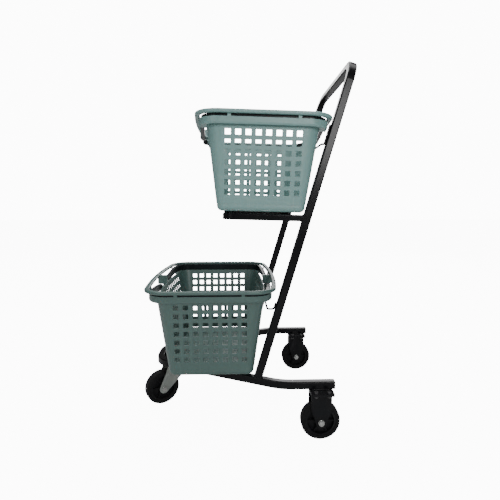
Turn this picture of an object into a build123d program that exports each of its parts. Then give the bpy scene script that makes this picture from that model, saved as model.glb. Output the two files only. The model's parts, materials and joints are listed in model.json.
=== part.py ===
"""Two-tier basket trolley with three wheels, leaning handle hoop and two lift-out hand baskets.

Frame: +Z up, floor at Z = 0, travel towards -X, handle towards +X, symmetric about Y = 0.
Left is -Y and right is +Y. While it is laid out, X = 0 lies halfway between the swivel axis
and the rear axle. Everything is moved at the end, so that the origin is the bottom centre.
"""
from build123d import *
from math import atan2, cos, radians, sin, tan
import os

os.makedirs("parts", exist_ok=True)

# ---------------------------------------------------------------- driving dimensions (mm)
# wheels and running gear
WHEELBASE = 406.0            # swivel axis to rear axle
REAR_TRACK = 423.0           # between the mid-planes of the rear wheels
WHEEL_D = 100.0
TYRE_W = 27.0
TYRE_DEPTH = 11.0            # rubber thickness over the hub
TYRE_CROWN = 5.0             # shoulder rounding
HUB_BOSS_R = 12.0
HUB_BOSS_W = 34.0
HUB_WEB = 6.0
AXLE_R = 4.0
SLEEVE_R = 6.0
RUN_FIT = 0.06               # radial running clearance
GAP = 0.3                    # clearance between faces of pieces that move past each other
CASTER_H = 130.0             # floor to the top of a caster's plate
PLATE_T = 3.0                # caster plates and pressed forks
MOUNT_T = 3.0                # plates welded under the tube
FORK_INNER = 36.0            # between the inner faces of a fork
REAR_FORK_L = 52.0           # width of a rear fork cheek along X
REAR_PLATE_L = 58.0
REAR_PLATE_W = 74.0
REAR_BOLT_X = 32.0           # bolt spacing of the rear plates
REAR_BOLT_Y = 58.0
EYE_R = 14.0                 # rounded end of a fork cheek about the axle
TRAIL = 38.0                 # swivel axis to front axle
SWIVEL_REST = 30.0           # resting angle of the front caster, degrees
CROWN_R = 25.0               # top disc of the front fork
CROWN_DROP = 12.0            # caster plate top to fork crown top
KINGPIN_R = 5.0
BALL_R = 2.5
BALL_COUNT = 14
BALL_CIRCLE_R = 18.0
SWIVEL_PLATE_L = 58.0
SWIVEL_PLATE_W = 78.0
SWIVEL_BOLT_X = 26.0
SWIVEL_BOLT_Y = 60.0

# fasteners: across flats and heights
M6_R, M6_FLATS, M6_HEAD, M6_NUT = 3.0, 10.0, 4.0, 5.0
M8_FLATS, M8_HEAD, M8_NUT = 13.0, 5.3, 6.5
BOLT_HOLE = 0.3              # radial clearance of a bolt hole

# frame tube and plan of the base
TUBE = 20.0
TUBE_WALL = 1.5
TUBE_CORNER = 3.0
RAIL_TAIL = 33.0             # rear axle to the rear end of the tube
RAIL_BEND_X = 104.0          # where the rails turn inwards
RAIL_TAPER = 25.5            # angle of the converging rails to X, degrees
RAIL_BEND_R = 130.0
NOSE_OVERHANG = 32.0         # swivel axis to the centreline of the nose
NOSE_R = 50.0
CAP_T = 3.0
CAP_PLUG = 14.0

# handle hoop
HOOP_W = 368.0               # between the centrelines of the legs
HOOP_LEAN = 16.3             # backward lean, degrees
HOOP_H = 945.0               # floor to the top of the crossbar
HOOP_R = 46.0

# upper shelf and lower deck
SHELF_TUBE = 16.0
SHELF_TUBE_WALL = 1.5
SHELF_TUBE_CORNER = 2.5
SHELF_FRONT_X = -43.0        # front face of the shelf
SHELF_BEND_R = 22.0
SHELF_WIRE_D = 5.0
SHELF_WIRES = 9
SHELF_REAR_X = 118.0         # centre of the rear cross tube
UPPER_SEAT_X = 51.5          # middle of the upper basket's foot
UPPER_SEAT_Z = 578.0         # where the upper basket stands
UPPER_TILT = 1.5             # backward slope of the upper tier, degrees
LOWER_SEAT_X = -74.0
DECK_ROD_D = 8.0
DECK_ROD_L = 320.0
DECK_RODS = 5
DECK_SPAN = 168.0            # first to last deck rod
TIE_ROD_D = 6.0
TIE_ROD_Y = 34.0
BACKREST_D = 5.0
BACKREST_R = 10.0
UPPER_BACKREST_RISE = 167.0  # above the seat of the upper basket
LOWER_BACKREST_RISE = 171.0
UPPER_BACKREST_LEG = 46.0    # height of wire welded along each leg
LOWER_BACKREST_LEG = 16.0
BACKREST_GAP = 3.0           # wire to basket wall

# hand basket, in its own frame with Z = 0 under its foot
BASKET_H = 230.0
FOOT_X, FOOT_Y = 107.5, 197.0    # half sizes of the wall, carried down to Z = 0
FOOT_R = 18.0
DRAFT = 6.7                  # wall slope, degrees
WALL = 2.6
FLOOR_T = 3.0
FOOT_H = 18.0                # height of the narrower foot under the wall
FOOT_STEP = 1.0              # wall beyond the foot
FOOT_ROUND = 13.0
TOP_R = 36.0                 # corner radius at the top of the wall
WALL_BOW = 12.0              # outward bow of the long walls at the top
CHANNEL_TOP = 204.0          # floor of the handle channel
CHANNEL_X = 16.0             # wall to outside of the collar on the long sides
CHANNEL_Y = 14.5             # the same on the short ends
COLLAR_T = 2.5
COLLAR_TOP = 215.0
COLLAR_BOTTOM = 197.0
COLLAR_BOW = 17.0
COLLAR_ROUND = 7.0
COLLAR_END = 156.0           # the long sides have no collar nearer their middle than this
RING_H = 9.0
RING_W = 12.0
RING_OVER = 10.0             # ring beyond the collar
RING_ROUND = 3.6
POST_W = 8.0                 # short posts between collar and ring
POST_T = 3.2
POST_SIDE = 0.68             # their place along a long side, as a share of its half length
POST_END = 0.55              # and along a short end
HOLE = 13.4
HOLE_PITCH = 24.0            # sideways, on all four walls
HOLE_PITCH_Z = 23.0
HOLE_TOP_Z = 184.0           # centre of the top row
HOLE_ROWS = 7
END_COLUMNS = 8
SIDE_COLUMNS = 14
BOSS_W = 14.0                # block that ties ring, collar and wall on the long sides

# bail handles
BAIL_W = 9.0
BAIL_H = 17.0
BAIL_R = 42.0
BAIL_END = 1.4               # collar to bail at the short end
BAIL_SIDE = 1.6              # collar to bail along the long sides
BAIL_LIFT = 1.5              # bail above the floor of the channel
PIVOT_Y = 34.0
PIVOT_Z = 198.0
PIVOT_R = 4.0
PIVOT_EYE_R = 8.5
PIVOT_BOSS_R = 5.5
PIVOT_HEAD_T = 2.0
PIVOT_SIDE = 0.6             # end play of a bail eye on its pin
ELBOW_Y = 165.0              # where the arms start to slope down to the pivots

# ---------------------------------------------------------------- derived places
KINGPIN_X = -WHEELBASE / 2
REAR_AXLE_X = WHEELBASE / 2
WHEEL_R = WHEEL_D / 2
HUB_R = WHEEL_R - TYRE_DEPTH
RAIL_BOTTOM = CASTER_H + MOUNT_T
RAIL_TOP = RAIL_BOTTOM + TUBE
RAIL_MID = RAIL_BOTTOM + TUBE / 2
RAIL_END_X = REAR_AXLE_X + RAIL_TAIL
NOSE_X = KINGPIN_X - NOSE_OVERHANG
SLOPE = tan(radians(HOOP_LEAN))
FORK_OUTER = FORK_INNER + 2 * PLATE_T
LEG_DEPTH = TUBE / cos(radians(HOOP_LEAN))   # leg thickness measured along X
HOOP_TOP_Z = HOOP_H - TUBE / 2
LOWER_SEAT_Z = RAIL_TOP + DECK_ROD_D
WALL_TOP = CHANNEL_TOP


def rail_y(x):
    """Half distance between the rail centrelines on the tapered stretch."""
    return REAR_TRACK / 2 - (RAIL_BEND_X - x) * tan(radians(RAIL_TAPER))


HOOP_FOOT_X = RAIL_BEND_X - (REAR_TRACK - HOOP_W) / 2 / tan(radians(RAIL_TAPER))


def leg_x(z):
    """X of the hoop legs' centreline at height z."""
    return HOOP_FOOT_X + (z - RAIL_TOP) * SLOPE


UPPER_SEAT = Location((UPPER_SEAT_X, 0, UPPER_SEAT_Z), (0, UPPER_TILT, 0))
LOWER_SEAT = Location((LOWER_SEAT_X, 0, LOWER_SEAT_Z), (0, 0, 0))
FRONT_CASTER = Location((KINGPIN_X, 0, 0), (0, 0, SWIVEL_REST))


# ---------------------------------------------------------------- shared shapes
def swept_square(points, radius, side, corner):
    """Solid of a square bar along a polyline whose corners are bent to a radius."""
    path = FilletPolyline(*points, radius=radius)
    start = Plane(origin=path @ 0, x_dir=(0, 1, 0), z_dir=path % 0)
    return sweep(start * RectangleRounded(side, side, corner), path=path)


def square_tube(points, radius, side, wall, corner):
    """Hollow square tube along a bent polyline, open at both ends."""
    outer = swept_square(points, radius, side, corner)
    inner = swept_square(points, radius, side - 2 * wall, corner - wall)
    return outer - inner


def round_wire(points, radius, diameter):
    """Round wire along a polyline whose corners are bent to a radius."""
    path = FilletPolyline(*points, radius=radius)
    start = Plane(origin=path @ 0, z_dir=path % 0)
    return sweep(start * Circle(diameter / 2), path=path)


def rod(start, end, diameter):
    """Straight round rod between two points."""
    axis = Vector(*end) - Vector(*start)
    return Plane(origin=start, z_dir=axis) * Cylinder(
        diameter / 2, axis.length, align=(Align.CENTER, Align.CENTER, Align.MIN))


def block(low, high):
    """Box between two corners."""
    size = [h - l for l, h in zip(low, high)]
    return Pos(*low) * Box(*size, align=(Align.MIN, Align.MIN, Align.MIN))


def hex_bar(flats, height):
    """Hexagonal prism standing on Z = 0, its edges eased like a bolt head's."""
    prism = extrude(RegularPolygon(flats / 2, 6, major_radius=False), height)
    dome = Cylinder(flats * 0.56, height, align=(Align.CENTER, Align.CENTER, Align.MIN))
    return prism & chamfer(dome.edges().group_by(Axis.Z)[-1], flats * 0.05)


def disc(radius, low, high, hole=0.0):
    """Round plate from Z = low to Z = high, with a hole where one is given."""
    body = Pos(0, 0, low) * Cylinder(radius, high - low,
                                     align=(Align.CENTER, Align.CENTER, Align.MIN))
    if hole:
        body -= Pos(0, 0, low) * Cylinder(hole, high - low,
                                          align=(Align.CENTER, Align.CENTER, Align.MIN))
    return body


def bolt_spots(spacing_x, spacing_y):
    """The four corners of a bolt rectangle."""
    return [(sx * spacing_x / 2, sy * spacing_y / 2) for sx in (-1, 1) for sy in (-1, 1)]


def drilled_plate(length, width, low, high, corner, spots):
    """Flat plate with rounded corners and M6 clearance holes."""
    plate = Pos(0, 0, low) * extrude(RectangleRounded(length, width, corner), high - low)
    for x, y in spots:
        plate -= Pos(x, y, 0) * disc(M6_R + BOLT_HOLE, low, high)
    return plate


def across_y(shape):
    """Turn a shape made about Z so that it lies about Y, its +Z end towards -Y."""
    return Rot(90, 0, 0) * shape


# ---------------------------------------------------------------- wheels
def tyre():
    """Solid tyre about Y, centred on the origin."""
    ring = disc(WHEEL_R, -TYRE_W / 2, TYRE_W / 2)
    ring = fillet(ring.edges(), TYRE_CROWN)
    return across_y(ring - disc(HUB_R, -TYRE_W / 2, TYRE_W / 2))


def hub():
    """Moulded wheel centre about Y: rim, web and bored boss."""
    rim_w = TYRE_W - 2.0
    rim = disc(HUB_R, -rim_w / 2, rim_w / 2, HUB_R - 5.0)
    web = disc(HUB_R - 4.0, -HUB_WEB / 2, HUB_WEB / 2)
    boss = disc(HUB_BOSS_R, -HUB_BOSS_W / 2, HUB_BOSS_W / 2)
    body = rim + web + boss
    rib_h = rim_w / 2 - 3.0
    for i in range(6):
        body += Rot(0, 0, 60 * i) * block((HUB_BOSS_R - 2, -1.5, -rib_h), (HUB_R - 4, 1.5, rib_h))
    return across_y(body - disc(SLEEVE_R + RUN_FIT, -HUB_BOSS_W / 2, HUB_BOSS_W / 2))


def axle_bolt():
    """M8 axle bolt about Y with its head outside the left fork cheek."""
    shank_start = FORK_OUTER / 2
    shank_end = -FORK_OUTER / 2 - M8_NUT - 2.0
    shank = disc(AXLE_R, shank_end, shank_start)
    return across_y(shank + Pos(0, 0, shank_start) * hex_bar(M8_FLATS, M8_HEAD))


def axle_nut():
    """M8 nut on the right end of the axle bolt."""
    nut = hex_bar(M8_FLATS, M8_NUT) - disc(AXLE_R, 0, M8_NUT)
    return across_y(Pos(0, 0, -FORK_OUTER / 2) * Rot(180, 0, 0) * nut)


def axle_sleeve():
    """Steel tube that the wheel turns on, held between the fork cheeks."""
    return across_y(disc(SLEEVE_R, -FORK_INNER / 2, FORK_INNER / 2, AXLE_R))


# ---------------------------------------------------------------- rear casters
def rear_fork():
    """Rigid pressed fork with its plate, axle at X = Y = 0 and Z = WHEEL_R."""
    top = CASTER_H - PLATE_T
    waist = WHEEL_R + 2.6 * EYE_R
    half = REAR_FORK_L / 2
    cheek = Plane.XZ * make_face(Polyline(
        (-half, top), (half, top), (half, waist), (EYE_R, WHEEL_R), (-EYE_R, WHEEL_R),
        (-half, waist), close=True))
    cheek += Plane.XZ * Pos(0, WHEEL_R) * Circle(EYE_R)
    cheek -= Plane.XZ * Pos(0, WHEEL_R) * Circle(AXLE_R + 0.1)
    cheek = extrude(cheek, PLATE_T)
    fork = drilled_plate(REAR_PLATE_L, REAR_PLATE_W, top, CASTER_H, 4.0,
                         bolt_spots(REAR_BOLT_X, REAR_BOLT_Y))
    fork += Pos(0, -FORK_INNER / 2, 0) * cheek
    return fork + Pos(0, FORK_OUTER / 2, 0) * cheek


def rear_mount_plate():
    """Plate welded under the tube, above a rear caster."""
    return drilled_plate(REAR_PLATE_L, REAR_PLATE_W, CASTER_H, RAIL_BOTTOM, 4.0,
                         bolt_spots(REAR_BOLT_X, REAR_BOLT_Y))


def plate_bolt():
    """M6 bolt standing head up on a mount plate, through both plates."""
    reach = MOUNT_T + PLATE_T + M6_NUT + 1.5
    return disc(M6_R, -reach, 0) + hex_bar(M6_FLATS, M6_HEAD)


def plate_nut():
    """M6 nut under a caster plate."""
    top = -MOUNT_T - PLATE_T
    return Pos(0, 0, top) * Rot(180, 0, 0) * (hex_bar(M6_FLATS, M6_NUT) - disc(M6_R, 0, M6_NUT))


# ---------------------------------------------------------------- front caster
CROWN_TOP = CASTER_H - CROWN_DROP
CROWN_T = PLATE_T


def front_fork():
    """Raked swivel fork about the kingpin axis, with its axle ahead of it along -X."""
    front, rear = -CROWN_R + 3.0, CROWN_R - 1.0
    lean = radians(40)
    cheek = make_face(Polyline(
        (front, CROWN_TOP), (rear, CROWN_TOP), (rear, CROWN_TOP - 30.0),
        (-TRAIL + EYE_R * sin(lean), WHEEL_R - EYE_R * cos(lean)),
        (-TRAIL - EYE_R * cos(radians(22)), WHEEL_R + EYE_R * sin(radians(22))), close=True))
    cheek += Pos(-TRAIL, WHEEL_R) * Circle(EYE_R)
    cheek -= Pos(-TRAIL, WHEEL_R) * Circle(AXLE_R + 0.1)
    cheek = extrude(Plane.XZ * cheek, PLATE_T)
    web = block((front, -FORK_OUTER / 2, CROWN_TOP - CROWN_T), (rear, FORK_OUTER / 2, CROWN_TOP))
    crown = disc(CROWN_R, CROWN_TOP - CROWN_T, CROWN_TOP)
    fork = crown + web + Pos(0, -FORK_INNER / 2, 0) * cheek + Pos(0, FORK_OUTER / 2, 0) * cheek
    return fork - disc(KINGPIN_R + RUN_FIT, CROWN_TOP - CROWN_T, CROWN_TOP)


def swivel_plate():
    """Caster plate with the pressed cup of the ball race."""
    plate = drilled_plate(SWIVEL_PLATE_L, SWIVEL_PLATE_W, CASTER_H - PLATE_T, CASTER_H, 6.0,
                          bolt_spots(SWIVEL_BOLT_X, SWIVEL_BOLT_Y))
    cup_low = CROWN_TOP + 2 * (BALL_R + GAP)
    cup = disc(CROWN_R, cup_low, CASTER_H - PLATE_T, BALL_CIRCLE_R - 7.0)
    skirt = disc(CROWN_R, CROWN_TOP + 1.5, cup_low, CROWN_R - 2.0)
    return plate + cup + skirt - disc(KINGPIN_R, CASTER_H - PLATE_T, CASTER_H)


def kingpin():
    """Riveted pin that carries the front fork."""
    head_top = CROWN_TOP - CROWN_T - GAP
    return disc(KINGPIN_R, head_top, CASTER_H) + disc(KINGPIN_R + 4.0, head_top - 3.5, head_top)


def swivel_balls():
    """Bearing balls between the cup and the fork crown."""
    seat = CROWN_TOP + GAP + BALL_R
    ring = PolarLocations(BALL_CIRCLE_R, BALL_COUNT)
    return [Pos(0, 0, seat) * spot * Sphere(BALL_R) for spot in ring]


def front_mount_plate():
    """Plate welded under the nose of the tube, with its sides along the rails."""
    front = NOSE_X
    rear = KINGPIN_X + SWIVEL_PLATE_L / 2 + 4.0
    inset = NOSE_R * 0.5
    outline = Polyline((front + inset, -rail_y(front + inset)), (rear, -rail_y(rear)),
                       (rear, rail_y(rear)), (front + inset, rail_y(front + inset)),
                       (front, rail_y(front) - inset), (front, inset - rail_y(front)), close=True)
    plate = Pos(0, 0, CASTER_H) * extrude(make_face(outline), MOUNT_T)
    for x, y in bolt_spots(SWIVEL_BOLT_X, SWIVEL_BOLT_Y):
        plate -= Pos(KINGPIN_X + x, y, 0) * disc(M6_R + BOLT_HOLE, CASTER_H, RAIL_BOTTOM)
    return plate


# ---------------------------------------------------------------- frame
def base_tube():
    """One bent tube: two tails, two tapered rails and the round nose."""
    half = REAR_TRACK / 2
    nose = rail_y(NOSE_X)
    points = [(RAIL_END_X, -half, RAIL_MID), (RAIL_BEND_X, -half, RAIL_MID),
              (NOSE_X, -nose, RAIL_MID), (NOSE_X, nose, RAIL_MID),
              (RAIL_BEND_X, half, RAIL_MID), (RAIL_END_X, half, RAIL_MID)]
    radii = [RAIL_BEND_R, NOSE_R, NOSE_R, RAIL_BEND_R]
    return square_tube(points, radii, TUBE, TUBE_WALL, TUBE_CORNER)


def end_cap():
    """Plastic plug of a rail tail, its flange at X = 0."""
    flange = Rot(0, 90, 0) * extrude(RectangleRounded(TUBE, TUBE, TUBE_CORNER), CAP_T)
    bore = TUBE - 2 * TUBE_WALL
    plug = Rot(0, 90, 0) * extrude(RectangleRounded(bore, bore, TUBE_CORNER - TUBE_WALL), CAP_PLUG)
    return fillet(flange.faces().sort_by(Axis.X)[-1].edges(), 1.0) + Pos(-CAP_PLUG, 0, 0) * plug


def hoop_points():
    """Corner points of the hoop, its feet carried a little below the top of the rails."""
    low = RAIL_TOP - TUBE
    half = HOOP_W / 2
    return [(leg_x(low), -half, low), (leg_x(HOOP_TOP_Z), -half, HOOP_TOP_Z),
            (leg_x(HOOP_TOP_Z), half, HOOP_TOP_Z), (leg_x(low), half, low)]


def handle_hoop():
    """Leaning hoop, cut flat where its feet stand on the rails."""
    hoop = square_tube(hoop_points(), HOOP_R, TUBE, TUBE_WALL, TUBE_CORNER)
    waste = block((leg_x(0), -HOOP_W, 0), (leg_x(2 * RAIL_TOP), HOOP_W, RAIL_TOP))
    return hoop - waste


def in_tier(x, y, z):
    """Point of the upper tier's sloping frame, given from the middle of its seat."""
    return tuple((UPPER_SEAT * Pos(x, y, z)).position)


def shelf_frame():
    """U of square tube that runs from leg to leg, round the front of the shelf."""
    level = -SHELF_WIRE_D - SHELF_TUBE / 2
    front = SHELF_FRONT_X - UPPER_SEAT_X + SHELF_TUBE / 2
    rear = leg_x(UPPER_SEAT_Z) - UPPER_SEAT_X
    half = HOOP_W / 2
    points = [in_tier(rear, -half, level), in_tier(front, -half, level),
              in_tier(front, half, level), in_tier(rear, half, level)]
    tube = square_tube(points, SHELF_BEND_R, SHELF_TUBE, SHELF_TUBE_WALL, SHELF_TUBE_CORNER)
    tube -= swept_square(hoop_points(), HOOP_R, TUBE, TUBE_CORNER)
    return max(tube.solids(), key=lambda solid: solid.volume)


def shelf_rear_bar():
    """Square tube between the arms of the shelf."""
    length = HOOP_W - SHELF_TUBE
    bore = SHELF_TUBE - 2 * SHELF_TUBE_WALL
    section = RectangleRounded(SHELF_TUBE, SHELF_TUBE, SHELF_TUBE_CORNER)
    section -= RectangleRounded(bore, bore, SHELF_TUBE_CORNER - SHELF_TUBE_WALL)
    bar = Rot(90, 0, 0) * Pos(0, 0, -length / 2) * extrude(section, length)
    level = -SHELF_WIRE_D - SHELF_TUBE / 2
    return UPPER_SEAT * Pos(SHELF_REAR_X - UPPER_SEAT_X, 0, level) * bar


def shelf_wires():
    """Wires laid from the front to the rear tube of the shelf."""
    front = SHELF_FRONT_X - UPPER_SEAT_X + 2.0
    rear = SHELF_REAR_X - UPPER_SEAT_X + SHELF_TUBE / 2 - 2.0
    pitch = (HOOP_W - 2 * SHELF_TUBE) / (SHELF_WIRES + 1)
    wires = []
    for i in range(SHELF_WIRES):
        y = (i - (SHELF_WIRES - 1) / 2) * pitch
        z = -SHELF_WIRE_D / 2
        wires.append(rod(in_tier(front, y, z), in_tier(rear, y, z), SHELF_WIRE_D))
    return wires


def deck_rods():
    """Cross rods laid over the rails, which carry the lower basket."""
    rods = []
    for i in range(DECK_RODS):
        x = LOWER_SEAT_X + (i / (DECK_RODS - 1) - 0.5) * DECK_SPAN
        z = RAIL_TOP + DECK_ROD_D / 2
        rods.append(rod((x, -DECK_ROD_L / 2, z), (x, DECK_ROD_L / 2, z), DECK_ROD_D))
    return rods


def tie_rods():
    """Two rods under the cross rods, which keep them in line."""
    z = RAIL_TOP - TIE_ROD_D / 2
    reach = DECK_SPAN / 2 + 6.0
    return [rod((LOWER_SEAT_X - reach, y, z), (LOWER_SEAT_X + reach, y, z), TIE_ROD_D)
            for y in (-TIE_ROD_Y, TIE_ROD_Y)]


def backrest(seat, rise, leg):
    """Wire from leg to leg that stands just behind a basket's rear wall."""
    wall = (seat * Pos(wall_half(rise)[0] + wall_bow(rise), 0, rise)).position
    across_x = wall.X + BACKREST_GAP + BACKREST_D / 2
    face = -LEG_DEPTH / 2 - BACKREST_D / 2 / cos(radians(HOOP_LEAN))
    top = wall.Z + leg
    half = HOOP_W / 2
    turn_x = leg_x(wall.Z) + face
    points = [(leg_x(top) + face, -half, top), (turn_x, -half, wall.Z), (across_x, -half, wall.Z),
              (across_x, half, wall.Z), (turn_x, half, wall.Z), (leg_x(top) + face, half, top)]
    bend = min(BACKREST_R, 0.45 * (turn_x - across_x), 0.45 * leg)
    return round_wire(points, bend, BACKREST_D)


# ---------------------------------------------------------------- hand basket
def wall_half(z):
    """Half sizes of the outside of the wall at height z, without the bow."""
    spread = z * tan(radians(DRAFT))
    return FOOT_X + spread, FOOT_Y + spread


def wall_bow(z):
    """Outward bow of the long walls at height z."""
    return WALL_BOW * z / WALL_TOP


def outline(half_x, half_y, bow, corner):
    """Rounded rectangle in plan, with its long sides bowed outwards along X."""
    right = ThreePointArc((half_x, -half_y), (half_x + bow, 0), (half_x, half_y))
    left = ThreePointArc((-half_x, half_y), (-half_x - bow, 0), (-half_x, -half_y))
    far = Line((half_x, half_y), (-half_x, half_y))
    near = Line((-half_x, -half_y), (half_x, -half_y))
    face = make_face([right, far, left, near])
    return fillet(face.vertices(), corner)


def bowed(half_x, half_y, bow, y):
    """X of a bowed long side at a distance y from its middle."""
    return half_x + bow * (1 - (y / half_y) ** 2)


def wall_section(z, inset):
    """Plan of the wall at height z, inset from its outside."""
    half_x, half_y = wall_half(z)
    corner = FOOT_R + (TOP_R - FOOT_R) * z / WALL_TOP
    return Pos(0, 0, z) * outline(half_x - inset, half_y - inset, wall_bow(z), corner - inset)


def collar_half():
    """Half sizes of the outside of the collar, without its bow."""
    half_x, half_y = wall_half(WALL_TOP)
    return half_x + CHANNEL_X, half_y + CHANNEL_Y


def collar_outline(offset):
    """Plan of the outside of the collar, offset outwards."""
    half_x, half_y = collar_half()
    return outline(half_x + offset, half_y + offset, COLLAR_BOW, TOP_R + CHANNEL_Y + offset)


def slab(plan, low, high):
    """A plan raised from Z = low to Z = high."""
    return Pos(0, 0, low) * extrude(plan, high - low)


def bottom_edges(shape):
    """Edges round the lowest face of a shape."""
    return shape.faces().sort_by(Axis.Z)[0].edges()


def basket_body():
    """Foot, drafted walls and the plate under the handle channel, all still solid inside."""
    wall = loft([wall_section(FOOT_H, 0), wall_section(WALL_TOP, 0)], ruled=True)
    foot_x, foot_y = wall_half(FOOT_H)
    plan = outline(foot_x - FOOT_STEP, foot_y - FOOT_STEP, wall_bow(FOOT_H), FOOT_R)
    foot = slab(plan, 0, FOOT_H + 1.0)
    return wall + fillet(bottom_edges(foot), FOOT_ROUND)


def basket_collar():
    """Handle channel round both short ends, open underneath between wall and collar."""
    collar = slab(collar_outline(0), COLLAR_BOTTOM, COLLAR_TOP)
    collar = fillet(bottom_edges(collar), COLLAR_ROUND)
    under_x, under_y = wall_half(COLLAR_BOTTOM)
    inside = outline(under_x + 1.5, under_y + 1.5, WALL_BOW, TOP_R)
    collar -= slab(collar_outline(-COLLAR_T), CHANNEL_TOP, COLLAR_TOP)
    return collar - slab(collar_outline(-COLLAR_T) - inside, COLLAR_BOTTOM, CHANNEL_TOP - WALL)


def basket_ring():
    """Rounded ring that stands over the collar."""
    plan = collar_outline(RING_OVER) - collar_outline(RING_OVER - RING_W)
    ring = slab(plan, BASKET_H - RING_H, BASKET_H)
    return fillet(ring.edges().filter_by(lambda e: abs(e.tangent_at(0.5).Z) < 0.5), RING_ROUND)


def ring_posts():
    """Short posts that carry the ring on the collar."""
    half_x, half_y = collar_half()
    mid_x, mid_y = half_x - COLLAR_T / 2, half_y - COLLAR_T / 2
    low, high = COLLAR_TOP - 2.0, BASKET_H - RING_H / 2
    side_y, end_x = POST_SIDE * half_y, POST_END * half_x
    side_x = bowed(mid_x, mid_y, COLLAR_BOW, side_y)
    posts = [Pos(sx * side_x, sy * side_y, 0) * Rectangle(POST_T, POST_W)
             for sx in (-1, 1) for sy in (-1, 1)]
    posts += [Pos(sx * end_x, sy * mid_y, 0) * Rectangle(POST_W, POST_T)
              for sx in (-1, 1) for sy in (-1, 1)]
    return [slab(post, low, high) for post in posts]


def side_openings():
    """Cutters that take the collar and the channel floor off the long sides."""
    wall_x, wall_y = wall_half(CHANNEL_TOP)
    outer_x = collar_half()[0] + COLLAR_BOW + 1.0
    plan = Rectangle(2 * outer_x, 2 * COLLAR_END) - outline(wall_x, wall_y, WALL_BOW, TOP_R)
    return slab(plan, COLLAR_BOTTOM - 1.0, COLLAR_TOP + 1.0)


def side_bosses():
    """Blocks at the middle of the long sides, from the wall out to the ring."""
    inner = wall_half(CHANNEL_TOP)[0] + WALL_BOW - 1.0
    outer = collar_half()[0] + COLLAR_BOW + RING_OVER - RING_W / 2
    plans = [Pos(side * (inner + outer) / 2, 0, 0) * Rectangle(outer - inner, BOSS_W)
             for side in (-1, 1)]
    return [slab(plan, CHANNEL_TOP - WALL, BASKET_H - RING_H / 2) for plan in plans]


def centred(count, pitch):
    """Evenly spaced positions about zero."""
    return [(i - (count - 1) / 2) * pitch for i in range(count)]


def wall_holes():
    """Cutters of the square wall holes, grouped so that none cross."""
    rows = [HOLE_TOP_Z - i * HOLE_PITCH_Z for i in range(HOLE_ROWS)]
    through = 3 * FOOT_Y
    ends = [Pos(x, 0, z) * Box(HOLE, through, HOLE)
            for x in centred(END_COLUMNS, HOLE_PITCH) for z in rows]
    sides = [Pos(0, y, z) * Box(through, HOLE, HOLE)
             for y in centred(SIDE_COLUMNS, HOLE_PITCH) for z in rows]
    return [ends, sides]


def basket():
    """Hand basket: drafted wall and floor, handle channels, ring, bosses and pivots."""
    body = basket_body() + basket_collar()
    body -= loft([wall_section(FLOOR_T, WALL + FOOT_STEP), wall_section(WALL_TOP + 1.0, WALL)],
                 ruled=True)
    body -= side_openings()
    body += [basket_ring()] + side_bosses() + ring_posts()
    for group in wall_holes():
        body -= group
    return body + [pivot_pin(side, end) for side in (-1, 1) for end in (-1, 1)]


# ---------------------------------------------------------------- bails
def bail_half():
    """Half sizes of the bail's centreline in plan, without its bow."""
    half_x, half_y = collar_half()
    inset = COLLAR_T + BAIL_W / 2
    return half_x - inset - BAIL_SIDE, half_y - inset - BAIL_END


def bail_arm_x():
    """X of the middle of a bail arm where it meets its pivot."""
    half_x, half_y = bail_half()
    return bowed(half_x, half_y, COLLAR_BOW, PIVOT_Y)


def pivot_pin(side, end):
    """Boss, pin and snap head that carry one eye of a bail, on the outside of a long wall."""
    half_x, half_y = wall_half(PIVOT_Z)
    wall_x = bowed(half_x, half_y, wall_bow(PIVOT_Z), PIVOT_Y) - WALL / 2
    inner = bail_arm_x() - BAIL_W / 2 - PIVOT_SIDE
    outer = bail_arm_x() + BAIL_W / 2 + PIVOT_SIDE
    pin = disc(PIVOT_BOSS_R, wall_x, inner) + disc(PIVOT_R, inner, outer)
    pin += disc(PIVOT_R + 1.5, outer, outer + PIVOT_HEAD_T)
    return Pos(0, end * PIVOT_Y, PIVOT_Z) * Rot(0, side * 90, 0) * pin


def bail_plan(offset):
    """Plan of the bail's centreline, offset outwards."""
    half_x, half_y = bail_half()
    return outline(half_x + offset, half_y + offset, COLLAR_BOW, BAIL_R + offset)


def bail(end):
    """U-shaped strap handle folded towards one short end (end = -1 left, +1 right)."""
    strap = extrude(bail_plan(BAIL_W / 2) - bail_plan(-BAIL_W / 2), BASKET_H)
    low = CHANNEL_TOP + BAIL_LIFT
    high = low + BAIL_H
    half_x, half_y = bail_half()
    outer = half_y + BAIL_W
    slope = atan2(low + BAIL_H / 2 - PIVOT_Z, ELBOW_Y - PIVOT_Y)
    rise = BAIL_H / 2 / cos(slope)
    side = make_face(Polyline(
        (-outer, low), (-outer, high), (-ELBOW_Y, high), (-PIVOT_Y, PIVOT_Z + rise),
        (-PIVOT_Y, PIVOT_Z - rise), (-ELBOW_Y, low), close=True))
    side += Pos(-PIVOT_Y, PIVOT_Z) * Circle(PIVOT_EYE_R)
    side -= Pos(-PIVOT_Y, PIVOT_Z) * Circle(PIVOT_R + RUN_FIT)
    handle = strap & Plane.YZ * extrude(side, half_x + COLLAR_BOW + BAIL_W, both=True)
    return Rot(0, 0, 180) * handle if end > 0 else handle


# ---------------------------------------------------------------- assembly
def both_sides(make):
    """A left and a right copy of a rear caster piece, turned so that both face outwards."""
    return [Pos(REAR_AXLE_X, side * REAR_TRACK / 2, 0) * Rot(0, 0, 90 + side * 90) * make()
            for side in (-1, 1)]


def at_axle(shape):
    """Lift a piece made about the origin to the height of the axle."""
    return Pos(0, 0, WHEEL_R) * shape


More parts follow.
